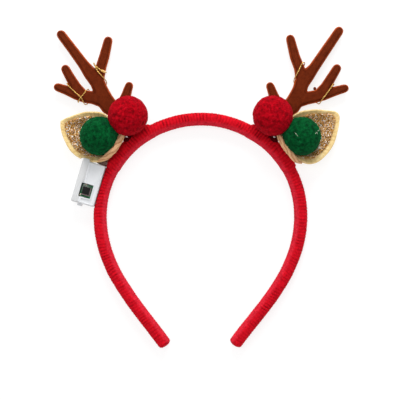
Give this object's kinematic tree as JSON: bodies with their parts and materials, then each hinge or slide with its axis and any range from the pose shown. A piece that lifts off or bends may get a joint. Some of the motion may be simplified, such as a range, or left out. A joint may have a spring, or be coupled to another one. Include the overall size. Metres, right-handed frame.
{
  "type": "reindeer antler headband",
  "caption": "Light-up reindeer headband: padded ribbed hoop with flat flocked antlers, felt cup ears, pompons, gold light wire and a small light box with a push button.",
  "frame": {"origin": "the middle of the crown's arc, which is the middle of the head that wears it, on the surface that the headband lies on", "axes": "+X to the picture's right, +Y up towards the antlers, +Z towards the viewer; the headband lies on its back on z = 0"},
  "size_m": [0.19, 0.2074, 0.0305],
  "materials": {
    "red_yarn": "ribbed brushed yarn cover",
    "brown_flock": "short flock on a stiff core",
    "gold_felt": "soft felt with a faint sheen",
    "gold_glitter": "glitter fabric",
    "red_felt": "dense trimmed fibre",
    "green_felt": "dense trimmed fibre",
    "white_plastic": "moulded, satin",
    "green_board": "board lacquer",
    "grey_metal": "dull pressed metal",
    "black_plastic": "satin",
    "gold_wire": "lacquered wire",
    "clear_glue": "clouded hot glue"
  },
  "bodies": {
    "headband": {"band": "red_yarn", "antler_left": "brown_flock", "antler_right": "brown_flock", "ear_shell_left": "gold_felt", "ear_shell_right": "gold_felt", "ear_lining_left": "gold_glitter", "ear_lining_right": "gold_glitter", "pompon_red_left": "red_felt", "pompon_red_right": "red_felt", "pompon_green_left": "green_felt", "pompon_green_right": "green_felt", "battery_box": "white_plastic", "battery_lid": "white_plastic", "circuit_board": "green_board", "switch_base": "grey_metal", "light_wire_left": "gold_wire", "light_wire_right": "gold_wire", "glue_pad": "clear_glue"},
    "button": {"switch_button": "black_plastic"}
  },
  "joints": [
    {"name": "button_press", "type": "slide", "parent": "headband", "child": "button", "axis": [0, 0, -1], "range_m": [0, 0.0003], "stiffness_N_per_m": 300}
  ]
}
